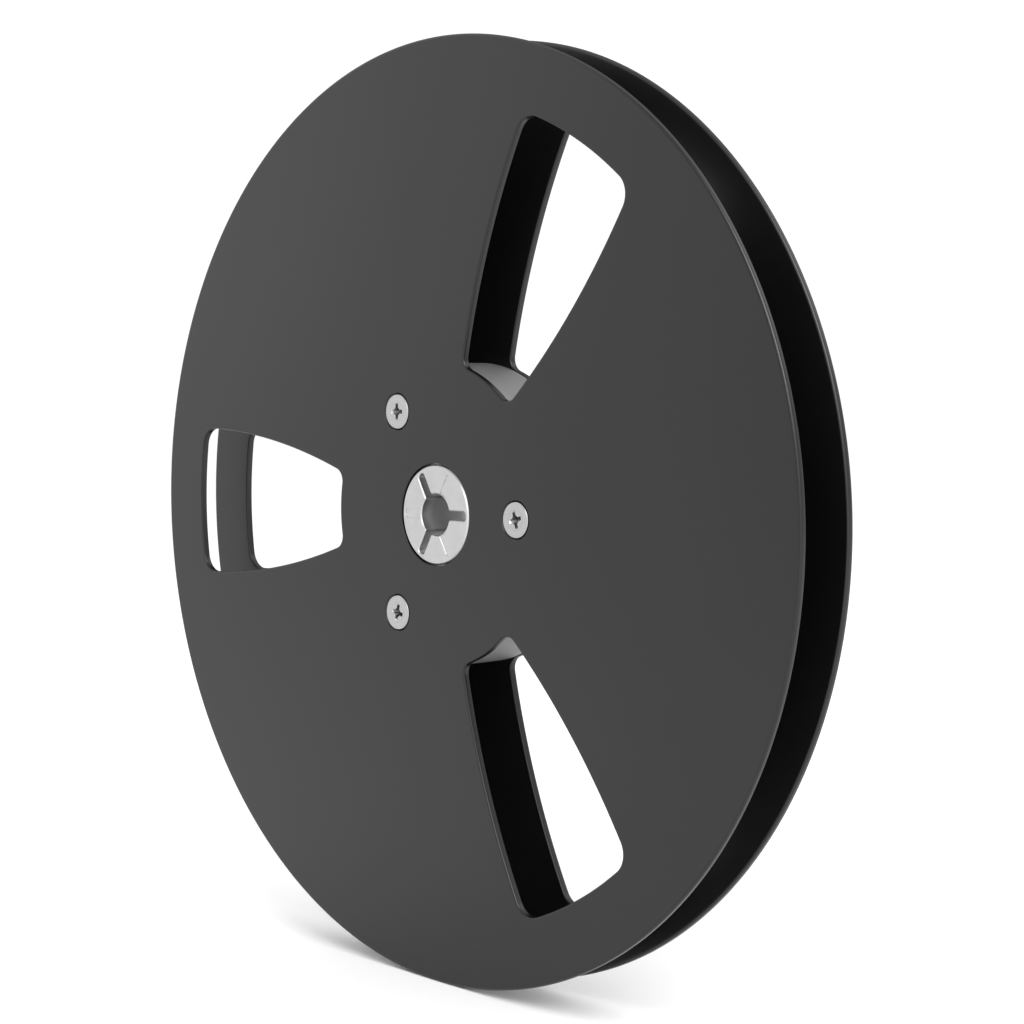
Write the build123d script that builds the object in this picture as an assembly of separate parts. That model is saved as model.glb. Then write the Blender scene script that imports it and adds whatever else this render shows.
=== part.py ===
"""Open-reel tape reel for quarter-inch tape, seven inches across, taken apart into its real pieces.

The reel is two identical sheet-aluminium flanges screwed to one turned aluminium hub, three
countersunk screws a side. The origin is the middle of the hub. +Y runs along the spindle axis
from the front flange to the rear one, +Z is up and +X is to the right, seen from the front.
Angles are counted anticlockwise from +X, seen from the front. All lengths are in millimetres.
"""
from build123d import *
import os

# The reel as a whole
reel_diameter = 178.0
reel_width = 13.2
flange_thickness = 1.4

# Flange edges
rim_edge_radius = 0.5
window_edge_radius = 0.3

# Windows: each lies between two arcs about the reel's centre and two long arcs at its sides
window_count = 3
first_window_angle = 60.0
window_inner_radius = 28.75
window_outer_radius = 76.85
window_side_radius = 154.4
window_side_centre_out = 77.5
window_side_centre_across = 139.1
window_inner_corner = 2.5
window_outer_corner = 4.0

# Hub: the core that tape winds on, with a boss at each end that centres a flange
core_diameter = 57.15
boss_diameter = 18.9
boss_clearance = 0.25
boss_sink = 0.05
boss_edge = 0.28

# Spindle bore with key slots, and shallow rests for the spindle's cap between the slots
bore_diameter = 8.0
slot_count = 3
first_slot_angle = 0.0
slot_width = 1.75
slot_tip_radius = 8.7
bore_edge = 0.2
rest_depth = 0.1

# Countersunk screws with a cross recess, and the holes they sit in
screw_count = 3
first_screw_angle = 0.0
screw_circle_radius = 22.3
screw_length = 6.0
screw_shank_diameter = 3.44
screw_tip_edge = 0.35
head_diameter = 6.6
head_land = 0.295
head_sink = 0.03
hole_diameter = 3.5
countersink_diameter = 7.3
recess_span = 3.2
recess_floor_span = 1.2
recess_width = 0.75
recess_depth = 1.5
recess_core_diameter = 1.7
recess_core_floor_diameter = 0.9
front_recess_angles = [16.0, 0.0, -14.0]
rear_recess_angles = [-21.0, 8.0, 35.0]

front_face = reel_width / 2
core_face = front_face - flange_thickness
boss_face = front_face - boss_sink
countersink_floor_diameter = countersink_diameter - 2 * flange_thickness
window_angles = [first_window_angle + step * 360 / window_count for step in range(window_count)]
slot_angles = [first_slot_angle + step * 360 / slot_count for step in range(slot_count)]
screw_angles = [first_screw_angle + step * 360 / screw_count for step in range(screw_count)]


def front_plane(distance):
    """A sketch plane seen from the front, this far in front of the middle of the reel."""
    return Plane.XZ.offset(distance)


def spun(shape, angle):
    """The shape turned anticlockwise about the spindle axis, seen from the front."""
    return shape.rotate(Axis((0, 0, 0), (0, -1, 0)), angle)


def turned_over(shape):
    """The same shape on the rear side, turned half a turn about the X axis."""
    return shape.rotate(Axis.X, 180)


def disc(diameter, front, back):
    """A cylinder about the spindle axis, between two distances in front of the middle."""
    return extrude(front_plane(back) * Circle(diameter / 2), front - back)


def cone(front_diameter, back_diameter, front, back):
    """A cone cut square at both ends, between two distances in front of the middle."""
    wide_end = front_plane(front) * Circle(front_diameter / 2)
    narrow_end = front_plane(back) * Circle(back_diameter / 2)
    return loft([wide_end, narrow_end])


def window_outline():
    """One window, on the +X side of the reel's centre."""
    ring = Circle(window_outer_radius) - Circle(window_inner_radius)
    for across in (-window_side_centre_across, window_side_centre_across):
        ring &= Pos(window_side_centre_out, across) * Circle(window_side_radius)
    outline = ring.faces().sort_by(Axis.X)[-1]
    outline = fillet(outline.vertices().sort_by(Axis.X)[-2:], window_outer_corner)
    return fillet(outline.vertices().sort_by(Axis.X)[:2], window_inner_corner)


def window_edges(plate):
    """The edges round the windows, on both faces of a flange."""
    inner_wires = [wire for face in plate.faces().filter_by(Axis.Y) for wire in face.inner_wires()]
    return [edge for wire in inner_wires if len(wire.edges()) > 1 for edge in wire.edges()]


def make_flange():
    """The front flange: a plate with its windows, centre hole and countersunk holes."""
    outline = Circle(reel_diameter / 2) - Circle(boss_diameter / 2 + boss_clearance)
    for angle in window_angles:
        outline -= Rot(0, 0, angle) * window_outline()
    plate = extrude(front_plane(core_face) * outline, flange_thickness)
    rims = [face.outer_wire() for face in plate.faces().filter_by(Axis.Y)]
    plate = fillet([edge for rim in rims for edge in rim.edges()], rim_edge_radius)
    plate = fillet(window_edges(plate), window_edge_radius)
    countersink = cone(countersink_diameter, countersink_floor_diameter, front_face, core_face)
    for angle in screw_angles:
        plate -= spun(Pos(screw_circle_radius, 0, 0) * countersink, angle)
    return plate


def slot_outline():
    """One key slot, from the reel's centre out along +X, round at its tip."""
    straight = slot_tip_radius - slot_width / 2
    return Pos(straight / 2, 0) * Rectangle(straight, slot_width) + Pos(straight, 0) * Circle(slot_width / 2)


def boss_ends(hub):
    """The flat faces at the two ends of the bosses."""
    return [face for face in hub.faces().filter_by(Axis.Y) if abs(face.center().Y) > core_face + 0.1]


def make_hub():
    """The hub: core, bosses, slotted bore, cap rests and the screws' tapped holes."""
    hub = disc(core_diameter, core_face, -core_face) + disc(boss_diameter, boss_face, -boss_face)
    hub = chamfer([edge for face in boss_ends(hub) for edge in face.outer_wire().edges()], boss_edge)
    bore = Circle(bore_diameter / 2)
    for angle in slot_angles:
        bore += Rot(0, 0, angle) * slot_outline()
    hub -= extrude(front_plane(-boss_face) * bore, 2 * boss_face)
    mouths = [wire for face in boss_ends(hub) for wire in face.inner_wires()]
    hub = chamfer([edge for wire in mouths for edge in wire.edges()], bore_edge)
    rest = extrude(front_plane(boss_face - rest_depth) * slot_outline(), 2 * rest_depth)
    for angle in window_angles:
        hub -= spun(rest, angle)
        hub -= spun(turned_over(rest), angle)
    mouth_depth = (countersink_floor_diameter - hole_diameter) / 2
    mouth = cone(countersink_floor_diameter, hole_diameter, core_face, core_face - mouth_depth)
    hole = disc(hole_diameter, core_face, -core_face) + mouth + turned_over(mouth)
    for angle in screw_angles:
        hub -= spun(Pos(screw_circle_radius, 0, 0) * hole, angle)
    return hub


def cross_recess(top):
    """The cross-shaped pocket of a screw head whose top is this far in front of the middle."""
    floor = top - recess_depth
    pocket = cone(recess_core_diameter, recess_core_floor_diameter, top, floor)
    wing_corners = [
        (-recess_span / 2, -top),
        (recess_span / 2, -top),
        (recess_floor_span / 2, -floor),
        (-recess_floor_span / 2, -floor),
    ]
    wing = extrude(make_face(Polyline(*wing_corners, close=True)), recess_width / 2, both=True)
    return pocket + wing + spun(wing, 90)


def make_screw(recess_angle):
    """One front screw on the reel's axis, with its recess turned to this angle."""
    top = front_face - head_sink
    seat = top - head_land
    neck = seat - (head_diameter - screw_shank_diameter) / 2
    tip = top - screw_length
    shank = disc(screw_shank_diameter, neck, tip)
    shank = chamfer(shank.edges().filter_by(GeomType.CIRCLE).sort_by(Axis.Y)[-1], screw_tip_edge)
    head = disc(head_diameter, top, seat) + cone(head_diameter, screw_shank_diameter, seat, neck)
    return head + shank - spun(cross_recess(top), recess_angle)


def make_screws():
    """The screws of both sides, each under its own name."""
    screws = {}
    for number, angle in enumerate(screw_angles, start=1):
        front_screw = Pos(screw_circle_radius, 0, 0) * make_screw(front_recess_angles[number - 1] - angle)
        rear_screw = Pos(screw_circle_radius, 0, 0) * make_screw(rear_recess_angles[number - 1] - angle)
        screws[f"front_screw_{number}"] = spun(front_screw, angle)
        screws[f"rear_screw_{number}"] = spun(turned_over(rear_screw), angle)
    return screws


front_flange = make_flange()
pieces = {
    "front_flange": front_flange,
    "rear_flange": turned_over(front_flange),
    "hub": make_hub(),
}
pieces.update(make_screws())

os.makedirs("parts", exist_ok=True)
for name, shape in pieces.items():
    export_step(shape, f"parts/{name}.step")
    print(f"{name}: {shape.volume:.1f} cubic mm")
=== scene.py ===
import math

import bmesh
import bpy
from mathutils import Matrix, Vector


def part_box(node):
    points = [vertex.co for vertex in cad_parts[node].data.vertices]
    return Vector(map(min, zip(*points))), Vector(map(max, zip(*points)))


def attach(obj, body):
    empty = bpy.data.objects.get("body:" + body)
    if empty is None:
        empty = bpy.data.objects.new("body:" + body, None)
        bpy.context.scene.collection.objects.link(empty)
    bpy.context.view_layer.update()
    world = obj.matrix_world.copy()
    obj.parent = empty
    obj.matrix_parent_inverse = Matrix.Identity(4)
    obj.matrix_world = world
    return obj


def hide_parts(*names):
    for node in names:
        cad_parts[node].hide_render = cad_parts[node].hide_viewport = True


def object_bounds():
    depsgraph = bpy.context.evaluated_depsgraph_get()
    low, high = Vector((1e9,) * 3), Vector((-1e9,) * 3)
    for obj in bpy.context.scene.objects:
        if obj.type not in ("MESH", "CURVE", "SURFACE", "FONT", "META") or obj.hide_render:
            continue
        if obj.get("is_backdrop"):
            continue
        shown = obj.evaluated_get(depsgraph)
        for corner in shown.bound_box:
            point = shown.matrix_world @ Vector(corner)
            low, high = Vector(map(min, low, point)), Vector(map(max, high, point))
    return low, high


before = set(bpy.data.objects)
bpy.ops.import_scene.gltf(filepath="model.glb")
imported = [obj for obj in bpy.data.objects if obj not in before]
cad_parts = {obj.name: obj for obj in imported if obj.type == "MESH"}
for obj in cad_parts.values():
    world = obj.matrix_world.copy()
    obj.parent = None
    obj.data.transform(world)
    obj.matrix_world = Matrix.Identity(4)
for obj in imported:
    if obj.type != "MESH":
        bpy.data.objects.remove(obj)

# %% [markdown]
# # An open-reel tape reel
# Two black anodised flanges are screwed to a bright turned hub, three countersunk screws a
# side, and the tape winds on the hub between them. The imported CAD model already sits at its
# real size, with the spindle axis along Y, the front face towards -Y and Z up. This lesson
# puts finished pieces round that model: the flanges, the hub and the six screws are each
# grown by a Geometry Nodes tree, and every metal gets a finish of its own.
# Blender works in metres, but a reel is drawn in millimetres, so the trees work in
# millimetres and scale their result once, at the end.

cad_low, cad_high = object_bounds()
cad_box = [list(cad_low), list(cad_high)]
mm = 0.001
flange_low, flange_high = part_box("front_flange")
hub_low, hub_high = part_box("hub")
screw_low, screw_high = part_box("front_screw_1")
rim_radius = flange_high.x / mm
front_face = -flange_low.y / mm
core_face = -flange_high.y / mm
core_radius = hub_high.x / mm
boss_face = -hub_low.y / mm
screw_top = -screw_low.y / mm
screw_length = (screw_high.y - screw_low.y) / mm
head_radius = (screw_high.z - screw_low.z) / 2 / mm
screw_circle = (screw_high.x + screw_low.x) / 2 / mm
print(f"reel {2 * rim_radius:.1f} mm across and {2 * front_face:.1f} mm wide")
print(f"flanges {front_face - core_face:.2f} mm thick, hub core {2 * core_radius:.2f} mm across")
print(f"screws {screw_length:.1f} mm long on a circle of {screw_circle:.1f} mm radius")

# %% [markdown]
# ## Camera
# A small part is usually shown from close by, so its near side looks a little larger than
# its far side, and a lens of about 75 mm lets it fill the frame. The camera stands to the
# right of the front face and a little above the axis, so that the picture shows the face,
# the gap that the tape runs in, and the rim of the rear flange.

# %% Camera
view_azimuth = math.radians(47.47)
view_elevation = math.radians(3.31)
view_distance = 398.7 * mm
view_target = Vector((14.32 * mm, 0, 0.88 * mm))
towards_camera = Vector((
    math.sin(view_azimuth) * math.cos(view_elevation),
    -math.cos(view_azimuth) * math.cos(view_elevation),
    math.sin(view_elevation)))
lens = bpy.data.cameras.new("camera")
lens.lens = 75.65
lens.sensor_width = 36
lens.clip_start = 0.01
camera = bpy.data.objects.new("camera", lens)
camera.location = view_target + towards_camera * view_distance
camera.rotation_euler = (-towards_camera).to_track_quat("-Z", "Y").to_euler()
bpy.context.scene.collection.objects.link(camera)
bpy.context.scene.camera = camera
print(f"camera {view_distance / mm:.0f} mm away, lens {lens.lens} mm")

# %% [markdown]
# ## A small kit for node trees
# A tree built in a script is easiest to read when each node takes one line. These helpers
# start a tree with named inputs, and put one node in it with its sockets filled. Sums and
# points are needed so often that they get helpers of their own.

# %% Start a tree and put nodes in it
def start_tree(title, inputs):
    """A new geometry tree with one named input for each size, outline or material"""
    tree = bpy.data.node_groups.new(title, "GeometryNodeTree")
    tree.interface.new_socket("Geometry", in_out="OUTPUT", socket_type="NodeSocketGeometry")
    kinds = {float: "Float", int: "Int", bpy.types.Object: "Object", bpy.types.Material: "Material"}
    for name, value in inputs.items():
        tree.interface.new_socket(name, in_out="INPUT", socket_type="NodeSocket" + kinds[type(value)])
    return tree, tree.nodes.new("NodeGroupInput").outputs


def put(tree, kind, sockets, **settings):
    """One node, with its settings and with a value or a link for each named socket"""
    node = tree.nodes.new(kind)
    for name, value in settings.items():
        setattr(node, name, value)
    for name, value in sockets.items():
        feeds = value if isinstance(value, list) else [value]
        for feed in feeds:
            if isinstance(feed, bpy.types.NodeSocket):
                tree.links.new(feed, node.inputs[name])
            else:
                node.inputs[name].default_value = feed
    return node.outputs[0]


def sums(tree, operation, first, second):
    """One sum on two numbers or outputs"""
    return put(tree, "ShaderNodeMath", {0: first, 1: second}, operation=operation)


def spot(tree, x, y, z=0.0):
    """A point from three numbers or outputs"""
    return put(tree, "ShaderNodeCombineXYZ", {"X": x, "Y": y, "Z": z})


# %% [markdown]
# ## Floor and light
# Black anodising is nearly a mirror for what stands round it, so it is lit by a surround
# and not by lamps: a white tent shows on it as one even grey that deepens where the surface
# turns towards the viewer. The tent is the world. In reflections it glows on its left side,
# beside the camera and high on the right, and its far wall, behind the reel, is held back,
# or every grazing edge would glare white. To the eye and to the paper floor it is plain
# white. Two softboxes high on the right draw a bright line along the rounded rims and pick
# out the edges of the screws.

# %% Floor
bpy.context.scene.view_settings.view_transform = "Standard"
floor_half = 4.0
paper_white = 0.96
paper_roughness = 0.9
paper_gloss = 0.1


def make_floor():
    """A plain sheet of white paper at the reel's lowest point"""
    mesh = bpy.data.meshes.new("floor")
    corners = [(x * floor_half, y * floor_half, cad_low.z)
               for x, y in ((-1, -1), (1, -1), (1, 1), (-1, 1))]
    mesh.from_pydata(corners, [], [(0, 1, 2, 3)])
    paper = bpy.data.materials.new("white_paper")
    paper.use_nodes = True
    shader = paper.node_tree.nodes["Principled BSDF"]
    shader.inputs["Base Color"].default_value = (paper_white, paper_white, paper_white, 1)
    shader.inputs["Roughness"].default_value = paper_roughness
    shader.inputs["Specular IOR Level"].default_value = paper_gloss
    mesh.materials.append(paper)
    floor = bpy.data.objects.new("floor", mesh)
    bpy.context.scene.collection.objects.link(floor)
    floor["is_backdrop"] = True


make_floor()
print(f"floor at {cad_low.z / mm:.1f} mm")

# %% White tent with three glows and a quiet far wall
plain_level = 1.07
tent_level = 0.95
far_wall_loss = 0.80
# A round patch: the direction of its heart, two angles in degrees for its edge and for the
# place where it reaches its full strength, and how much it changes the tent there
left_glow = (Vector((-1.0, -0.25, 0.35)), 55, 15, 0.50)
front_glow = (Vector((0.66, -0.72, 0.20)), 40, 10, 1.0)
high_right_glow = (Vector((0.72, -0.40, 0.60)), 26, 14, 2.0)
far_wall = (Vector((-0.74, 0.67, 0.0)), 62, 30, far_wall_loss)


def tent_patch(tree, direction, patch):
    """The change of level that one round patch makes in this direction"""
    towards, edge_angle, full_angle, change = patch
    facing = put(tree, "ShaderNodeVectorMath", {
        0: direction, 1: towards.normalized()}, operation="DOT_PRODUCT").node.outputs["Value"]
    return put(tree, "ShaderNodeMapRange", {
        "Value": facing, "From Min": math.cos(math.radians(edge_angle)),
        "From Max": math.cos(math.radians(full_angle)), "To Max": change}, interpolation_type="SMOOTHSTEP")


def make_tent():
    """A white world that is uneven only in reflections"""
    tent = bpy.data.worlds.new("white_tent")
    bpy.context.scene.world = tent
    tent.use_nodes = True
    tree = tent.node_tree
    direction = put(tree, "ShaderNodeTexCoord", {}).node.outputs["Generated"]
    level = tent_level
    for glow in (left_glow, front_glow, high_right_glow):
        level = sums(tree, "ADD", level, tent_patch(tree, direction, glow))
    loss = tent_patch(tree, direction, far_wall)
    mirrored = sums(tree, "MULTIPLY", level, sums(tree, "SUBTRACT", 1.0, loss))
    glossy = put(tree, "ShaderNodeLightPath", {}).node.outputs["Is Glossy Ray"]
    shown = put(tree, "ShaderNodeMix", {"Factor": glossy, "A": plain_level, "B": mirrored})
    background = tree.nodes["Background"]
    background.inputs["Color"].default_value = (1, 1, 1, 1)
    tree.links.new(shown, background.inputs["Strength"])


make_tent()
print(f"tent level {tent_level}, far wall {tent_level * (1 - far_wall_loss):.2f}")


# %% Softboxes
def soft_light(name, place, width, power):
    """A square softbox that faces the reel"""
    light = bpy.data.lights.new(name, "AREA")
    light.shape = "RECTANGLE"
    light.size = light.size_y = width
    light.energy = power
    lamp = bpy.data.objects.new(name, light)
    lamp.location = place
    lamp.rotation_euler = (-Vector(place)).to_track_quat("-Z", "Y").to_euler()
    bpy.context.scene.collection.objects.link(lamp)


soft_light("high_right_softbox", place=(0.95, -0.36, 0.90), width=0.9, power=13)
soft_light("rear_right_softbox", place=(0.50, 0.87, 0.78), width=0.7, power=1.5)

# %% [markdown]
# ## From a tree to a finished piece
# A tree works on an empty mesh. Every tree here ends in the same way: its parts are joined
# and welded, scaled from millimetres to metres, turned to stand on the reel's axis, and given
# their finish. The evaluated result is then copied as a plain mesh, and edges sharper than a
# set angle stay crisp while all others are shaded smooth.

# %% Grow a piece and make it a plain mesh
merge_distance = 0.001
sharp_angle = math.radians(32)


def finish_tree(tree, parts, turn, material):
    """Join the parts, weld them, scale them to metres, turn them on edge and give them a finish"""
    joined = put(tree, "GeometryNodeJoinGeometry", {"Geometry": parts})
    welded = put(tree, "GeometryNodeMergeByDistance", {"Geometry": joined, "Distance": merge_distance})
    placed = put(tree, "GeometryNodeTransform", {
        "Geometry": welded, "Rotation": spot(tree, turn, 0.0), "Scale": (mm, mm, mm)})
    real = put(tree, "GeometryNodeRealizeInstances", {"Geometry": placed})
    finished = put(tree, "GeometryNodeSetMaterial", {"Geometry": real, "Material": material})
    tree.links.new(finished, tree.nodes.new("NodeGroupOutput").inputs[0])


def grow(name, tree, inputs):
    """The tree's result as a plain mesh object, with every face pointing outwards"""
    seed = bpy.data.objects.new(name + "_seed", bpy.data.meshes.new(name + "_seed"))
    bpy.context.scene.collection.objects.link(seed)
    modifier = seed.modifiers.new("grow", "NODES")
    modifier.node_group = tree
    for socket in tree.interface.items_tree:
        if socket.in_out == "INPUT":
            modifier[socket.identifier] = inputs[socket.name]
    evaluated = seed.evaluated_get(bpy.context.evaluated_depsgraph_get())
    mesh = bpy.data.meshes.new_from_object(evaluated)
    mesh.name = name
    bpy.data.objects.remove(seed)
    form = bmesh.new()
    form.from_mesh(mesh)
    bmesh.ops.recalc_face_normals(form, faces=form.faces)
    for polygon in form.faces:
        polygon.smooth = True
    for edge in form.edges:
        edge.smooth = edge.calc_face_angle(0.0) < sharp_angle
    loose = sum(1 for edge in form.edges if len(edge.link_faces) != 2)
    triangles = sum(len(polygon.verts) - 2 for polygon in form.faces)
    volume = form.calc_volume() / mm ** 3
    print(f"{name}: {triangles} triangles, {loose} open edges, {volume:.0f} cubic mm")
    form.to_mesh(mesh)
    form.free()
    piece = bpy.data.objects.new(name, mesh)
    bpy.context.scene.collection.objects.link(piece)
    return piece


print(f"points closer than {merge_distance} mm are welded")

# %% [markdown]
# ## Outlines
# Every cut-out on the reel is a closed chain of arcs. An arc is divided so finely that its
# chords stray from it by no more than a few thousandths of a millimetre, so a large arc and a
# small corner look equally round. Outlines run clockwise round a hole, which keeps the metal
# on the left hand of the path, and a circle round the outside runs the other way.

# %% Arcs
chord_error = 0.002


def arc(centre, radius, start, end):
    """Points along an arc, both ends included, from one angle to another in radians"""
    steps = max(3, math.ceil(abs(end - start) / math.sqrt(8 * chord_error / radius)))
    angles = [start + (end - start) * step / steps for step in range(steps + 1)]
    return [centre + radius * Vector((math.cos(angle), math.sin(angle))) for angle in angles]


def angle_of(vector):
    """The direction of a vector, from -pi to pi"""
    return math.atan2(vector.y, vector.x)


def mirrored_loop(half):
    """A closed outline from its upper half, run clockwise"""
    lower = [Vector((point.x, -point.y)) for point in reversed(half)]
    return list(reversed(half + [point for point in lower if abs(point.y) > merge_distance]))


def outline_object(name, loop):
    """A closed curve object through the points of a loop"""
    data = bpy.data.curves.new(name, "CURVE")
    data.dimensions = "3D"
    spline = data.splines.new("POLY")
    spline.points.add(len(loop) - 1)
    for place, point in zip(spline.points, loop):
        place.co = (point.x, point.y, 0, 1)
    spline.use_cyclic_u = True
    outline = bpy.data.objects.new(name, data)
    bpy.context.scene.collection.objects.link(outline)
    print(f"{name}: {len(loop)} points")
    return outline


# %% Strips along an outline, and flat faces between outlines
def ring(tree, radius, steps, inside_out=False):
    """A circle about the axis; turned inside out it is the edge of a hole"""
    circle = put(tree, "GeometryNodeCurvePrimitiveCircle", {"Radius": radius, "Resolution": steps})
    return put(tree, "GeometryNodeReverseCurve", {"Curve": circle}) if inside_out else circle


def flat(tree, curve):
    """The curve with its normals kept in its own plane, pointing away from the metal"""
    return put(tree, "GeometryNodeSetCurveNormal", {"Curve": curve}, mode="Z_UP")


def offset(tree, curve, out):
    """The curve moved away from the metal, in its own plane"""
    normal = put(tree, "GeometryNodeInputNormal", {})
    shift = put(tree, "ShaderNodeVectorMath", {0: normal, "Scale": out}, operation="SCALE")
    return put(tree, "GeometryNodeSetPosition", {"Geometry": flat(tree, curve), "Offset": shift})


def strip(tree, curve, start, end):
    """A band along the curve, between two places given as distance from the metal and height"""
    line = put(tree, "GeometryNodeCurvePrimitiveLine", {
        "Start": spot(tree, start[0], sums(tree, "MULTIPLY", start[1], -1.0)),
        "End": spot(tree, end[0], sums(tree, "MULTIPLY", end[1], -1.0))})
    return put(tree, "GeometryNodeCurveToMesh", {"Curve": flat(tree, curve), "Profile Curve": line})


def face(tree, curves, height):
    """The flat face that lies between the curves, at this height"""
    joined = put(tree, "GeometryNodeJoinGeometry", {"Geometry": curves})
    filled = put(tree, "GeometryNodeFillCurve", {"Curve": joined}, mode="TRIANGLES")
    return put(tree, "GeometryNodeTransform", {
        "Geometry": filled, "Translation": spot(tree, 0.0, 0.0, height)})


def repeated(tree, geometry, count, first_angle):
    """Copies of some geometry, spread evenly about the axis"""
    points = put(tree, "GeometryNodePoints", {"Count": count})
    number = put(tree, "GeometryNodeInputIndex", {})
    step = sums(tree, "DIVIDE", math.tau, count)
    angle = sums(tree, "ADD", sums(tree, "MULTIPLY", number, step), first_angle)
    copies = put(tree, "GeometryNodeInstanceOnPoints", {
        "Points": points, "Instance": geometry, "Rotation": spot(tree, 0.0, 0.0, angle)})
    return put(tree, "GeometryNodeRealizeInstances", {"Geometry": copies})


def outline_in(tree, socket):
    """An outline object as geometry in the tree"""
    return put(tree, "GeometryNodeObjectInfo", {"Object": socket}).node.outputs["Geometry"]


# %% [markdown]
# ## Window outline
# Each flange has three windows for threading the tape and for seeing how much is left. A
# window lies between two arcs about the reel's centre and two long arcs at its sides, and
# its corners are round. A corner arc touches two of these circles, so its centre is where
# two other circles meet, and the whole outline follows from seven numbers.

# %% Window outline
window_inner_radius = 28.75
window_outer_radius = 76.85
window_side_radius = 154.4
window_side_centre = Vector((77.5, -139.1))
window_inner_corner = 2.5
window_outer_corner = 4.0
window_count = 3
first_window = math.radians(60)


def upper_meeting(radius, centre, other_radius):
    """Where a circle about the origin meets another circle, above the X axis"""
    distance = centre.length
    along = (radius ** 2 - other_radius ** 2 + distance ** 2) / (2 * distance)
    across = math.sqrt(radius ** 2 - along ** 2)
    direction = centre / distance
    return direction * along + Vector((-direction.y, direction.x)) * across


def window_loop():
    """One window on the +X side: outer arc, corner, side arc, corner and inner arc, mirrored"""
    centre = Vector((0, 0))
    outer_corner = upper_meeting(window_outer_radius - window_outer_corner, window_side_centre,
                                 window_side_radius - window_outer_corner)
    inner_corner = upper_meeting(window_inner_radius + window_inner_corner, window_side_centre,
                                 window_side_radius - window_inner_corner)
    outer_side = angle_of(outer_corner - window_side_centre)
    inner_side = angle_of(inner_corner - window_side_centre)
    half = arc(centre, window_outer_radius, 0, angle_of(outer_corner))
    half += arc(outer_corner, window_outer_corner, angle_of(outer_corner), outer_side)[1:]
    half += arc(window_side_centre, window_side_radius, outer_side, inner_side)[1:]
    half += arc(inner_corner, window_inner_corner, inner_side, angle_of(inner_corner) + math.pi)[1:]
    half += arc(centre, window_inner_radius, angle_of(inner_corner), 0)[1:]
    return mirrored_loop(half)


window = outline_object("window_outline", window_loop())

# %% [markdown]
# ## Flanges
# A flange is a disc cut from aluminium sheet, so it is drawn as sheet: outlines first, then
# thickness. The tree sweeps one edge profile round the rim and round every window, with
# both arrises rounded, and fills the flat faces between the outlines. Three cone-shaped
# seats take the screws. The rear flange is the same piece turned over, from the same tree.

# %% Edge profile of the sheet
arris_steps = 6


def edge_profile(tree, half_thickness, rounding, land):
    """Rounded arrises joined by a flat edge, with a narrow land on both faces"""
    reach = sums(tree, "MULTIPLY", sums(tree, "ADD", rounding, land), -1.0)
    below = sums(tree, "MULTIPLY", half_thickness, -1.0)
    corners = put(tree, "GeometryNodeCurvePrimitiveQuadrilateral", {
        "Point 1": spot(tree, reach, below),
        "Point 2": spot(tree, 0.0, below),
        "Point 3": spot(tree, 0.0, half_thickness),
        "Point 4": spot(tree, reach, half_thickness)}, mode="POINTS")
    opened = put(tree, "GeometryNodeSetSplineCyclic", {"Geometry": corners, "Cyclic": False})
    return put(tree, "GeometryNodeFilletCurve", {
        "Curve": opened, "Radius": rounding, "Count": arris_steps}, mode="POLY")


print(f"each arris is rounded in {arris_steps} steps")

# %% Flange tree
towards_front = math.radians(90)
towards_rear = math.radians(-90)
rim_steps = 720
hole_steps = 192
seat_steps = 96
flange_sizes = {
    "Rim radius": rim_radius,
    "Half thickness": (front_face - core_face) / 2,
    "Middle": (front_face + core_face) / 2,
    "Rim rounding": 0.5,
    "Window rounding": 0.3,
    "Hole radius": 9.7,
    "Hole rounding": 0.1,
    "Land": 0.25,
    "Screw circle": screw_circle,
    "Seat radius": 3.65,
    "Seat arris": 0.06,
    "Window count": window_count,
    "First window": first_window,
    "Window": window,
}


def edge_of(tree, sizes, curve, rounding):
    """The swept edge along an outline, and the offset outline where the flat faces begin"""
    profile = edge_profile(tree, sizes["Half thickness"], rounding, sizes["Land"])
    swept = put(tree, "GeometryNodeCurveToMesh", {"Curve": flat(tree, curve), "Profile Curve": profile})
    inwards = sums(tree, "MULTIPLY", sums(tree, "ADD", rounding, sizes["Land"]), -1.0)
    return swept, offset(tree, curve, inwards)


def flange_tree(inputs):
    """Rim, windows, centre hole and countersunk seats of one flange"""
    tree, sizes = start_tree("flange", inputs)
    half = sizes["Half thickness"]
    below = sums(tree, "MULTIPLY", half, -1.0)
    window_line = outline_in(tree, sizes["Window"])
    windows = repeated(tree, window_line, sizes["Window count"], sizes["First window"])
    edges = [
        edge_of(tree, sizes, ring(tree, sizes["Rim radius"], rim_steps), sizes["Rim rounding"]),
        edge_of(tree, sizes, windows, sizes["Window rounding"]),
        edge_of(tree, sizes, ring(tree, sizes["Hole radius"], hole_steps, True), sizes["Hole rounding"]),
    ]
    seat = ring(tree, sizes["Seat radius"], seat_steps, True)
    seat = put(tree, "GeometryNodeTransform", {
        "Geometry": seat, "Translation": spot(tree, sizes["Screw circle"], 0.0)})
    seats = repeated(tree, seat, sizes["Window count"], 0.0)
    arris = sizes["Seat arris"]
    arris_in = sums(tree, "MULTIPLY", arris, -1.0)
    shoulder = sums(tree, "SUBTRACT", half, arris)
    depth = sums(tree, "ADD", half, shoulder)
    cones = [
        strip(tree, seats, (arris_in, half), (0.0, shoulder)),
        strip(tree, seats, (0.0, shoulder), (depth, below)),
    ]
    bounds = [bound for _, bound in edges]
    faces = [
        face(tree, bounds + [offset(tree, seats, arris_in)], half),
        face(tree, bounds + [offset(tree, seats, depth)], below),
    ]
    sheet = [swept for swept, _ in edges] + cones + faces
    plate = put(tree, "GeometryNodeJoinGeometry", {"Geometry": sheet})
    raised = put(tree, "GeometryNodeTransform", {
        "Geometry": plate, "Translation": spot(tree, 0.0, 0.0, sizes["Middle"])})
    finish_tree(tree, [raised], sizes["Turn"], sizes["Finish"])
    return tree


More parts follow.
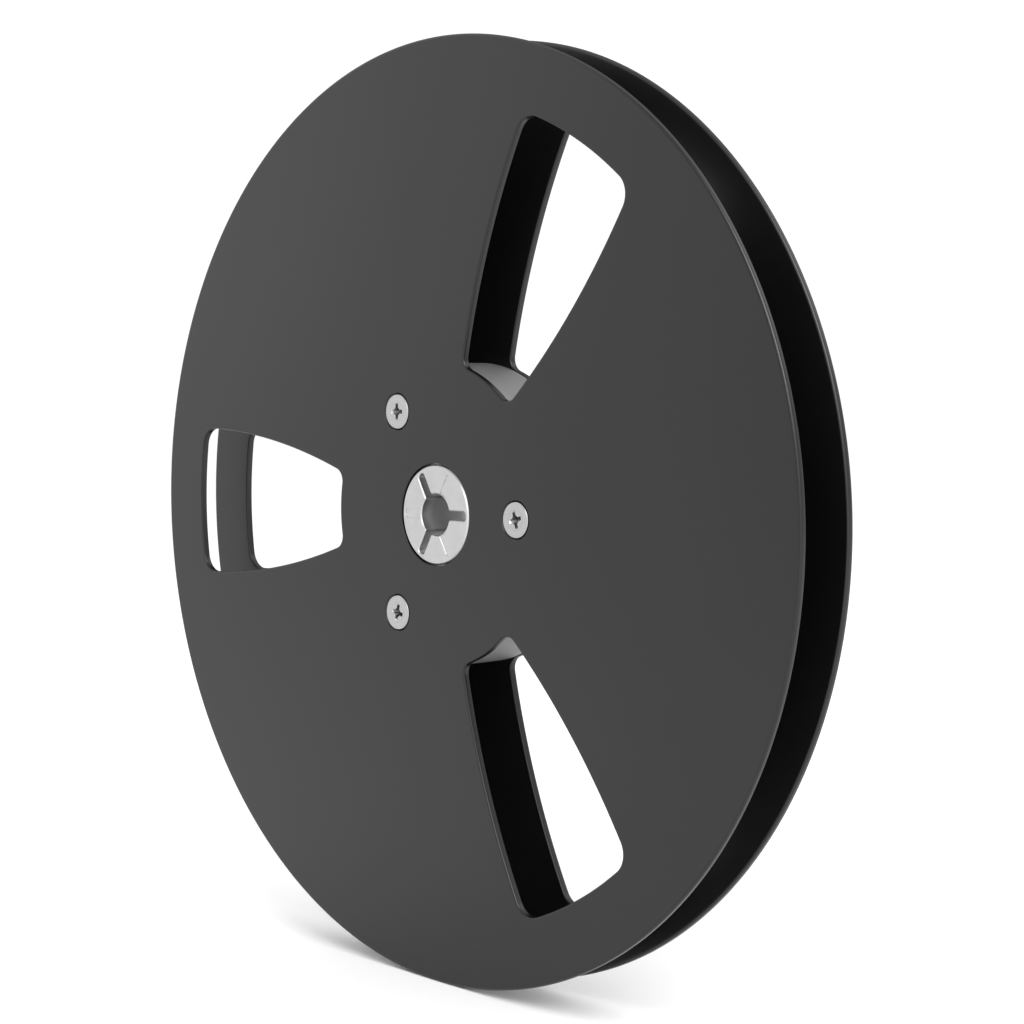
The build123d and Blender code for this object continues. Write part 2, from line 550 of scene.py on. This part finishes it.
def placed(sizes, turn, finish):
    """The inputs of a tree, with the side it faces and its finish"""
    return {**sizes, "Turn": turn, "Finish": finish}


print(f"flange rim rounded {flange_sizes['Rim rounding']} mm, windows {flange_sizes['Window rounding']} mm")

# %% [markdown]
# ## Hub
# The hub is turned from one bar: a wide core that the tape winds on, and a small boss at
# each end that stands in the flange's centre hole. Three key slots and the spindle bore run
# right through, with a fine chamfer at their mouth, and three shallow rests lie between the
# slots. Both ends are alike, so the tree builds one half and turns a copy of it over.

# %% Bore and slot outlines
bore_radius = 4.0
slot_half_width = 0.875
slot_tip_radius = 8.7
slot_corner = 0.25
bore_edge = 0.2
rest_start = 4.32


def slot_tip(direction):
    """The round end of a slot that points this way, from its right side to its left side"""
    centre = Vector((math.cos(direction), math.sin(direction))) * (slot_tip_radius - slot_half_width)
    return arc(centre, slot_half_width, direction - math.pi / 2, direction + math.pi / 2)


def bore_loop():
    """The bore with a slot every third of a turn, the first on the +X side"""
    corner_out = bore_radius + slot_corner
    corner_angle = math.asin((slot_half_width + slot_corner) / corner_out)
    loop = []
    for direction in (0, math.tau / 3, 2 * math.tau / 3):
        right, left = direction - corner_angle, direction + corner_angle
        right_centre = Vector((math.cos(right), math.sin(right))) * corner_out
        left_centre = Vector((math.cos(left), math.sin(left))) * corner_out
        loop += arc(right_centre, slot_corner, right + math.pi, direction + math.pi / 2)
        loop += slot_tip(direction)
        loop += arc(left_centre, slot_corner, direction - math.pi / 2, left - math.pi)
        next_corner = direction + math.tau / 3 - corner_angle
        loop += arc(Vector((0, 0)), bore_radius, left, next_corner)[1:-1]
    return list(reversed(loop))


def rest_loop():
    """The rest on the +X side: it starts beside the bore and ends like a slot"""
    reach = math.asin(slot_half_width / rest_start)
    return list(reversed(arc(Vector((0, 0)), rest_start, reach, -reach) + slot_tip(0)))


bore = outline_object("bore_outline", bore_loop())
rest = outline_object("rest_outline", rest_loop())

# %% Hub tree
boss_steps = 256
core_steps = 384
screw_hole_steps = 64
rest_count = 3
screw_count = 3
hub_sizes = {
    "Core radius": core_radius,
    "Core face": core_face,
    "Core arris": 0.08,
    "Boss radius": 9.45,
    "Boss face": boss_face,
    "Boss edge": 0.28,
    "Bore edge": bore_edge,
    "Rest depth": 0.13,
    "Rest arris": 0.06,
    "First rest": first_window,
    "Screw circle": screw_circle,
    "Screw hole radius": 1.75,
    "Hole mouth": 0.6,
    "Bore": bore,
    "Rest": rest,
}


def hub_tree(inputs):
    """Half of the hub, from its boss face to its middle, and the same half turned over"""
    tree, sizes = start_tree("hub", inputs)
    top = sizes["Boss face"]
    core_top = sizes["Core face"]
    boss_in = sums(tree, "MULTIPLY", sizes["Boss edge"], -1.0)
    boss_low = sums(tree, "SUBTRACT", top, sizes["Boss edge"])
    core_in = sums(tree, "MULTIPLY", sizes["Core arris"], -1.0)
    core_low = sums(tree, "SUBTRACT", core_top, sizes["Core arris"])
    bore_in = sums(tree, "MULTIPLY", sizes["Bore edge"], -1.0)
    bore_low = sums(tree, "SUBTRACT", top, sizes["Bore edge"])
    rest_in = sums(tree, "MULTIPLY", sizes["Rest arris"], -1.0)
    rest_low = sums(tree, "SUBTRACT", top, sizes["Rest arris"])
    rest_floor = sums(tree, "SUBTRACT", top, sizes["Rest depth"])
    mouth_in = sums(tree, "MULTIPLY", sizes["Hole mouth"], -1.0)
    mouth_low = sums(tree, "SUBTRACT", core_top, sizes["Hole mouth"])
    boss = ring(tree, sizes["Boss radius"], boss_steps)
    core = ring(tree, sizes["Core radius"], core_steps)
    bore_edge_line = outline_in(tree, sizes["Bore"])
    rests = repeated(tree, outline_in(tree, sizes["Rest"]), rest_count, sizes["First rest"])
    hole = put(tree, "GeometryNodeTransform", {
        "Geometry": ring(tree, sizes["Screw hole radius"], screw_hole_steps, True),
        "Translation": spot(tree, sizes["Screw circle"], 0.0)})
    holes = repeated(tree, hole, screw_count, 0.0)
    half = [
        strip(tree, boss, (boss_in, top), (0.0, boss_low)),
        strip(tree, boss, (0.0, boss_low), (0.0, core_top)),
        strip(tree, core, (core_in, core_top), (0.0, core_low)),
        strip(tree, core, (0.0, core_low), (0.0, 0.0)),
        strip(tree, bore_edge_line, (bore_in, top), (0.0, bore_low)),
        strip(tree, bore_edge_line, (0.0, bore_low), (0.0, 0.0)),
        strip(tree, rests, (rest_in, top), (0.0, rest_low)),
        strip(tree, rests, (0.0, rest_low), (0.0, rest_floor)),
        strip(tree, holes, (mouth_in, core_top), (0.0, mouth_low)),
        strip(tree, holes, (0.0, mouth_low), (0.0, 0.0)),
        face(tree, [offset(tree, boss, boss_in), offset(tree, bore_edge_line, bore_in),
                    offset(tree, rests, rest_in)], top),
        face(tree, [rests], rest_floor),
        face(tree, [offset(tree, core, core_in), boss, offset(tree, holes, mouth_in)], core_top),
    ]
    one_end = put(tree, "GeometryNodeJoinGeometry", {"Geometry": half})
    other_end = put(tree, "GeometryNodeTransform", {"Geometry": one_end, "Rotation": (math.pi, 0, 0)})
    finish_tree(tree, [one_end, other_end], sizes["Turn"], sizes["Finish"])
    return tree


print(f"hub boss {2 * hub_sizes['Boss radius']:.1f} mm across, rests {hub_sizes['Rest depth']} mm deep")

# %% [markdown]
# ## Screws
# Six countersunk machine screws hold the reel together. A screw has a flat head with a
# narrow land, a cone that sits in the flange, and a thread that runs down to the tip. The
# thread is a rule rather than a sweep: the shank is a fine net of faces, and each point is
# pushed out by a ridge whose height depends on its height and on its angle round the axis.
# The cross recess is a cup between two cross-shaped outlines.

# %% Cross recess
recess_span = 3.2
recess_width = 0.75
recess_core = 1.7
recess_depth = 1.5
recess_floor_span = 1.2
recess_floor_width = 0.6
recess_floor_core = 0.9
wing_corner = 0.15
corner_steps = 4
core_steps_between = 6


def cross_loop(span, width, core, corner):
    """A cross with round wing tips, whose wings meet on a small circle"""
    side = math.asin(width / core)
    quarter = math.pi / 2 - 2 * side
    turns = [step * math.pi / (2 * corner_steps) for step in range(corner_steps + 1)]
    loop = []
    for direction in (0, math.pi / 2, math.pi, 3 * math.pi / 2):
        along = Vector((math.cos(direction), math.sin(direction)))
        across = Vector((-along.y, along.x))
        right_corner = along * (span / 2 - corner) + across * (corner - width / 2)
        left_corner = along * (span / 2 - corner) + across * (width / 2 - corner)
        for turn in turns:
            loop.append(right_corner + corner * (math.cos(turn) * -across + math.sin(turn) * along))
        for turn in turns:
            loop.append(left_corner + corner * (math.cos(turn) * along + math.sin(turn) * across))
        for step in range(core_steps_between + 1):
            angle = direction + side + quarter * step / core_steps_between
            loop.append(Vector((math.cos(angle), math.sin(angle))) * core / 2)
    return list(reversed(loop))


mouth_loop = cross_loop(recess_span, recess_width, recess_core, wing_corner)
floor_loop = cross_loop(recess_floor_span, recess_floor_width, recess_floor_core, wing_corner)


def recess_object():
    """The walls and the floor of the recess, with its mouth at height zero"""
    count = len(mouth_loop)
    points = [(point.x, point.y, 0) for point in mouth_loop]
    points += [(point.x, point.y, -recess_depth) for point in floor_loop]
    faces = [(step, (step + 1) % count, count + (step + 1) % count, count + step)
             for step in range(count)]
    faces.append([count + step for step in range(count)])
    mesh = bpy.data.meshes.new("recess_cup")
    mesh.from_pydata(points, [], faces)
    cup = bpy.data.objects.new("recess_cup", mesh)
    bpy.context.scene.collection.objects.link(cup)
    return cup


recess_mouth = outline_object("recess_outline", mouth_loop)
recess_cup = recess_object()
print(f"recess: {len(mouth_loop)} points round its mouth, {recess_depth} mm deep")

# %% Screw tree
root_radius = 1.32
shank_radius = 1.72
head_steps = 96
thread_rows = 52
thread_root_end = 0.07
thread_crest_start = 0.44
screw_sizes = {
    "Head radius": head_radius,
    "Head arris": 0.09,
    "Land": 0.295,
    "Root radius": root_radius,
    "Thread height": shank_radius - root_radius,
    "Pitch": 0.6,
    "Length": screw_length,
    "Tip edge": 0.3,
    "Recess mouth": recess_mouth,
    "Recess cup": recess_cup,
}


def thread_push(tree, sizes, neck, tip_start):
    """How far the thread stands out at each point of the shank"""
    place = put(tree, "GeometryNodeInputPosition", {})
    split = put(tree, "ShaderNodeSeparateXYZ", {0: place}).node.outputs
    turns = sums(tree, "DIVIDE", sums(tree, "ARCTAN2", split["Y"], split["X"]), math.tau)
    along = sums(tree, "SUBTRACT", sums(tree, "DIVIDE", split["Z"], sizes["Pitch"]), turns)
    wave = sums(tree, "PINGPONG", along, 0.5)
    ridge = put(tree, "ShaderNodeMapRange", {
        "Value": wave, "From Min": thread_root_end, "From Max": thread_crest_start})
    fade_in = put(tree, "ShaderNodeMapRange", {
        "Value": split["Z"], "From Min": neck,
        "From Max": sums(tree, "SUBTRACT", neck, sizes["Pitch"])})
    fade_out = put(tree, "ShaderNodeMapRange", {
        "Value": split["Z"], "From Min": tip_start,
        "From Max": sums(tree, "ADD", tip_start, sizes["Pitch"])})
    strength = sums(tree, "MULTIPLY", sums(tree, "MULTIPLY", fade_in, fade_out), sizes["Thread height"])
    push = sums(tree, "MULTIPLY", ridge, strength)
    outwards = put(tree, "ShaderNodeVectorMath", {
        0: spot(tree, split["X"], split["Y"])}, operation="NORMALIZE")
    return put(tree, "ShaderNodeVectorMath", {0: outwards, "Scale": push}, operation="SCALE")


def screw_tree(inputs):
    """Head, seat cone, threaded shank and tip of one screw, moved to its place on the reel"""
    tree, sizes = start_tree("countersunk_screw", inputs)
    arris = sizes["Head arris"]
    arris_in = sums(tree, "MULTIPLY", arris, -1.0)
    land = sums(tree, "MULTIPLY", sizes["Land"], -1.0)
    taper = sums(tree, "SUBTRACT", sizes["Head radius"], sizes["Root radius"])
    taper_in = sums(tree, "MULTIPLY", taper, -1.0)
    neck = sums(tree, "SUBTRACT", land, taper)
    tip = sums(tree, "MULTIPLY", sizes["Length"], -1.0)
    tip_start = sums(tree, "ADD", tip, sizes["Tip edge"])
    tip_in = sums(tree, "MULTIPLY", sizes["Tip edge"], -1.0)
    head = ring(tree, sizes["Head radius"], head_steps)
    root = ring(tree, sizes["Root radius"], head_steps)
    line = put(tree, "GeometryNodeCurvePrimitiveLine", {
        "Start": spot(tree, 0.0, sums(tree, "MULTIPLY", neck, -1.0)),
        "End": spot(tree, 0.0, sums(tree, "MULTIPLY", tip_start, -1.0))})
    rows = put(tree, "GeometryNodeResampleCurve", {"Curve": line, "Count": thread_rows})
    shank = put(tree, "GeometryNodeCurveToMesh", {"Curve": flat(tree, root), "Profile Curve": rows})
    threaded = put(tree, "GeometryNodeSetPosition", {
        "Geometry": shank, "Offset": thread_push(tree, sizes, neck, tip_start)})
    parts = [
        face(tree, [offset(tree, head, arris_in), outline_in(tree, sizes["Recess mouth"])], 0.0),
        strip(tree, head, (arris_in, 0.0), (0.0, arris_in)),
        strip(tree, head, (0.0, arris_in), (0.0, land)),
        strip(tree, head, (0.0, land), (taper_in, neck)),
        threaded,
        strip(tree, root, (0.0, tip_start), (tip_in, tip)),
        face(tree, [offset(tree, root, tip_in)], tip),
        outline_in(tree, sizes["Recess cup"]),
    ]
    whole = put(tree, "GeometryNodeJoinGeometry", {"Geometry": parts})
    radius = put(tree, "ShaderNodeVectorMath", {
        0: put(tree, "ShaderNodeVectorMath", {
            0: put(tree, "GeometryNodeInputPosition", {}), 1: (1, 1, 0)}, operation="MULTIPLY")},
        operation="LENGTH").node.outputs["Value"]
    marked = put(tree, "GeometryNodeStoreNamedAttribute", {
        "Geometry": whole, "Name": "from_axis", "Value": radius}, data_type="FLOAT", domain="POINT")
    moved = put(tree, "GeometryNodeTransform", {
        "Geometry": marked,
        "Translation": spot(tree, sizes["Out"], sizes["Up"], sizes["Top"]),
        "Rotation": spot(tree, 0.0, 0.0, sizes["Recess turn"])})
    finish_tree(tree, [moved], sizes["Turn"], sizes["Finish"])
    return tree


print(f"screw thread {screw_sizes['Pitch']} mm in pitch and {screw_sizes['Thread height']:.2f} mm high")

# %% [markdown]
# ## Finishes
# Three metals are seen. The flanges are brushed, then anodised and dyed black, so they keep
# a straight grain under a glassy skin. The hub is bare aluminium: its ends show the fine
# rings that a lathe leaves, its barrel is matt, and the walls inside the bore are duller and
# painted darker with depth, a painted shade, while the slot walls are painted a lighter grey,
# a painted light. The screws are bright plated steel with rings about their own axes, and
# their recess and the sides of their heads are painted darker with depth, a painted shade.
# Each pattern is a noise on Object coordinates, or on the distance from the screw's axis that
# its tree stored, and it drives the roughness and a very low bump.

# %% Shared parts of a finish
noise_low = 0.3
noise_high = 0.7


def start_finish(name, color, roughness, metallic=1.0, ior=1.5):
    """A metal or coated finish whose uniform values sit on the shader's own sockets"""
    material = bpy.data.materials.new(name)
    material.use_nodes = True
    shader = material.node_tree.nodes["Principled BSDF"]
    shader.inputs["Base Color"].default_value = (*color, 1)
    shader.inputs["Metallic"].default_value = metallic
    shader.inputs["Roughness"].default_value = roughness
    shader.inputs["IOR"].default_value = ior
    return material, shader


def place_on_reel(tree):
    """The shaded point's place, in the object's own metres"""
    return put(tree, "ShaderNodeTexCoord", {}).node.outputs["Object"]


def from_middle(tree):
    """How far the shaded point lies from the reel's middle, along the spindle axis"""
    split = put(tree, "ShaderNodeSeparateXYZ", {0: place_on_reel(tree)}).node.outputs
    return sums(tree, "ABSOLUTE", split["Y"], 0.0)


def ramp(tree, value, start, end, height=1.0):
    """A share that rises from nothing to this height while the value goes from start to end"""
    return put(tree, "ShaderNodeMapRange", {
        "Value": value, "From Min": start, "From Max": end, "To Max": height})


def spread(tree, value, low, high):
    """A noise value, which keeps to the middle of its range, spread between two numbers"""
    return put(tree, "ShaderNodeMapRange", {
        "Value": value, "From Min": noise_low, "From Max": noise_high, "To Min": low, "To Max": high})


def mixed(tree, share, first, second):
    """Two colours or colour outputs, mixed by a share from 0 to 1"""
    mix = put(tree, "ShaderNodeMix", {"Factor": share}, data_type="RGBA").node
    for socket, feed in ((mix.inputs[6], first), (mix.inputs[7], second)):
        if isinstance(feed, tuple):
            socket.default_value = (*feed, 1)
        else:
            tree.links.new(feed, socket)
    return mix.outputs[2]


def bump(tree, value, height):
    """Ripples of this height in metres"""
    return put(tree, "ShaderNodeBump", {"Height": value, "Distance": height, "Strength": 1.0})


print(f"noise between {noise_low} and {noise_high} is spread over each finish's own range")

# %% Black anodised sheet
grain_angle = math.radians(27)
grain_size = (14 * mm, 2 * mm, 0.16 * mm)
grain_height = 0.0004 * mm
skin_color = (0.003, 0.003, 0.003)
skin_roughness = (0.275, 0.325)
skin_ior = 1.46
dye_scale = 25.0
dye_colors = ((0.0022, 0.0022, 0.0023), (0.0036, 0.0036, 0.0037))
inner_dulling = 0.06
outer_look = core_face + 0.4
inner_look = core_face + 0.1


def anodised_finish(name, angle):
    """Black dyed anodising over a straight brushed grain, duller on the face towards the hub"""
    material, shader = start_finish(name, skin_color, 0.3, metallic=0.0, ior=skin_ior)
    tree = material.node_tree
    place = place_on_reel(tree)
    brushed = put(tree, "ShaderNodeMapping", {
        "Vector": place, "Rotation": (0, angle, 0), "Scale": grain_size}, vector_type="TEXTURE")
    grain = put(tree, "ShaderNodeTexNoise", {"Vector": brushed, "Scale": 1.0, "Detail": 3.0})
    dye = put(tree, "ShaderNodeTexNoise", {"Vector": place, "Scale": dye_scale, "Detail": 2.0})
    inner = ramp(tree, from_middle(tree), outer_look * mm, inner_look * mm, inner_dulling)
    rough = sums(tree, "ADD", spread(tree, grain, *skin_roughness), inner)
    tree.links.new(rough, shader.inputs["Roughness"])
    dyed = mixed(tree, spread(tree, dye, 0.0, 1.0), *dye_colors)
    tree.links.new(dyed, shader.inputs["Base Color"])
    tree.links.new(bump(tree, grain, grain_height), shader.inputs["Normal"])
    return material


front_black = anodised_finish("black_anodised_front", grain_angle)
rear_black = anodised_finish("black_anodised_rear", -grain_angle)
print("finishes:", front_black.name, rear_black.name)

# %% Turned aluminium
turned_color = (0.51, 0.51, 0.51)
turned_roughness = 0.30
barrel_color = (0.29, 0.29, 0.29)
# Painted shade: the bore walls are painted this darker grey, growing from the mouth inwards
bore_painted_shade_color = (0.31, 0.31, 0.31)
# Painted light: the slot walls inside the hub are painted this lighter grey, standing in for light that
# reaches them
slot_painted_light_color = (0.72, 0.72, 0.72)
worn_share = 0.93
worn_scale = 400.0
barrel_dulling = 0.3
drilled_dulling = 0.4
# Depths inside the holes where the roughness dulling and the painted colours begin and reach full strength
drilled_depths = (0.3 * mm, 3.0 * mm)
slot_radii = (4.3 * mm, 4.8 * mm)
barrel_radii = (core_radius * mm * 0.98, core_radius * mm * 0.99)


def hub_place(tree):
    """Distance from the spindle axis, and distance along it"""
    split = put(tree, "ShaderNodeSeparateXYZ", {0: place_on_reel(tree)}).node.outputs
    flat_place = put(tree, "ShaderNodeCombineXYZ", {"X": split["X"], "Z": split["Z"]})
    out = put(tree, "ShaderNodeVectorMath", {0: flat_place}, operation="LENGTH").node.outputs["Value"]
    return out, split["Y"]


def turned_finish(name, color, roughness, pitch, height):
    """Bare aluminium: bright ring-turned ends, a matt barrel, and dull walls inside its holes,
    painted darker with depth in the bore (painted shade) and lighter in the slots (painted light)
    """
    material, shader = start_finish(name, color, roughness)
    tree = material.node_tree
    out, along = hub_place(tree)
    lines = put(tree, "ShaderNodeTexNoise", {
        "W": sums(tree, "ADD", out, along), "Scale": 1 / pitch, "Detail": 2.0}, noise_dimensions="1D")
    barrel = ramp(tree, out, *barrel_radii)
    depth = sums(tree, "SUBTRACT", boss_face * mm, from_middle(tree))
    inside = ramp(tree, depth, *drilled_depths)
    in_slots = ramp(tree, out, *slot_radii)
    # One share both makes the hole walls rougher (real) and blends in their painted shade and painted
    # light, deeper from the mouth
    hole_dulling_and_shade = sums(tree, "MULTIPLY", inside, sums(tree, "SUBTRACT", 1.0, barrel))
    base = spread(tree, lines, roughness - 0.04, roughness + 0.05)
    matt = sums(tree, "ADD", base, sums(tree, "MULTIPLY", barrel, barrel_dulling))
    dull = sums(tree, "ADD", matt, sums(tree, "MULTIPLY", hole_dulling_and_shade, drilled_dulling))
    tree.links.new(dull, shader.inputs["Roughness"])
    cloud = put(tree, "ShaderNodeTexNoise", {
        "Vector": place_on_reel(tree), "Scale": worn_scale, "Detail": 3.0})
    worn = mixed(tree, spread(tree, cloud, 0.0, 1.0), tuple(worn_share * part for part in color), color)
    blasted = mixed(tree, barrel, worn, barrel_color)
    # Hole walls: painted shade in the bore, painted light on the slot walls
    inner = mixed(tree, in_slots, bore_painted_shade_color, slot_painted_light_color)
    tree.links.new(mixed(tree, hole_dulling_and_shade, blasted, inner), shader.inputs["Base Color"])
    tree.links.new(bump(tree, lines, height), shader.inputs["Normal"])
    return material


silver = turned_finish("turned_aluminium_finish", turned_color, turned_roughness,
                       pitch=0.09 * mm, height=0.0006 * mm)
print("finish:", silver.name)

# %% Plated steel
plated_color = (0.45, 0.45, 0.45)
plated_roughness = 0.26
# Painted shade: the recess and the head's sides below its top are painted this dark grey, more with depth
recess_painted_shade_color = (0.18, 0.18, 0.18)
ring_share = 0.90
recess_dulling = 0.3
recess_shade_depths = (0.05 * mm, 0.4 * mm)


def plated_finish(name, color, roughness, pitch, height):
    """Bright plated steel with the rings that turning left round the screw's own axis, and with
    the recess and the head's sides painted darker with depth (painted shade)
    """
    material, shader = start_finish(name, color, roughness)
    tree = material.node_tree
    radius = put(tree, "ShaderNodeAttribute", {}, attribute_name="from_axis").node.outputs["Fac"]
    lines = put(tree, "ShaderNodeTexNoise", {
        "W": radius, "Scale": 1 / pitch, "Detail": 1.0}, noise_dimensions="1D")
    ringed = mixed(tree, spread(tree, lines, 0.0, 1.0), tuple(ring_share * part for part in color), color)
    depth = sums(tree, "SUBTRACT", screw_top * mm, from_middle(tree))
    # This depth share dulls the recess (real) and paints its shade
    deep = ramp(tree, depth, *recess_shade_depths)
    shine = spread(tree, lines, roughness - 0.05, roughness + 0.06)
    dull = sums(tree, "ADD", shine, sums(tree, "MULTIPLY", deep, recess_dulling))
    tree.links.new(dull, shader.inputs["Roughness"])
    tree.links.new(mixed(tree, deep, ringed, recess_painted_shade_color), shader.inputs["Base Color"])
    tree.links.new(bump(tree, lines, height), shader.inputs["Normal"])
    return material


steel = plated_finish("plated_screw_finish", plated_color, plated_roughness,
                      pitch=0.35, height=0.0015 * mm)
print("finish:", steel.name)

# %% [markdown]
# ## Grow the nine pieces
# The trees and finishes are ready, so each piece is grown in turn. The rear pieces use the
# same trees as the front ones and only face the other way. The six screws stand where the
# model's screws stand, each with its recess turned as a hand would leave it.

# %% Grow the flanges
flange_inputs = placed(flange_sizes, towards_front, front_black)
flanges = flange_tree(flange_inputs)
front_flange = grow("front_flange_sheet", flanges, flange_inputs)
rear_flange = grow("rear_flange_sheet", flanges, placed(flange_sizes, towards_rear, rear_black))

# %% Grow the hub
hub_inputs = placed(hub_sizes, towards_front, silver)
hub = grow("turned_hub", hub_tree(hub_inputs), hub_inputs)

# %% Grow the screws
recess_degrees = {"front": (16, 0, -14), "rear": (-21, 8, 35)}


def screw_inputs(side, number):
    """The inputs of one screw: its place comes from the model's own screw"""
    low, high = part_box(f"{side}_screw_{number}")
    across = (low + high) / 2 / mm
    handed = 1 if side == "front" else -1
    turn = towards_front if side == "front" else towards_rear
    spin = math.radians(recess_degrees[side][number - 1])
    return placed({**screw_sizes, "Out": across.x, "Up": handed * across.z, "Top": screw_top,
                   "Recess turn": spin}, turn, steel)


screws = {}
screw_net = screw_tree(screw_inputs("front", 1))
for side in recess_degrees:
    for number in (1, 2, 3):
        name = f"{side}_screw_{number}"
        screws[name] = grow(f"{name}_steel", screw_net, screw_inputs(side, number))

# %% Clear away the outlines that the trees used
helpers = (window, bore, rest, recess_mouth, recess_cup)
for helper in helpers:
    bpy.data.objects.remove(helper)
print(f"{len(helpers)} outlines cleared away")

# %% [markdown]
# ## Hand over
# A reel is one rigid body, so every piece rides on it. Each piece takes the place of the
# model's piece of the same name, which is hidden. The last cell prints both boxes side by side.

# %% Each piece rides on the reel and stands for its CAD node
slots = {front_flange: ("front_flange", "black_anodised"), rear_flange: ("rear_flange", "black_anodised"),
         hub: ("hub", "turned_aluminium")}
for name, piece in screws.items():
    slots[piece] = (name, "plated_screw")
for piece, (node, slot) in slots.items():
    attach(piece, "root")
    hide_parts(node)
print(f"{len(slots)} pieces ride on the reel")

# %% Print the finished box beside the model's box, and close
visual_low, visual_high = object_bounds()
sizes = {"cad": cad_box, "visual": [list(visual_low), list(visual_high)]}
for title, box in sizes.items():
    print(title, "box in mm:", [[round(value / mm, 3) for value in corner] for corner in box])
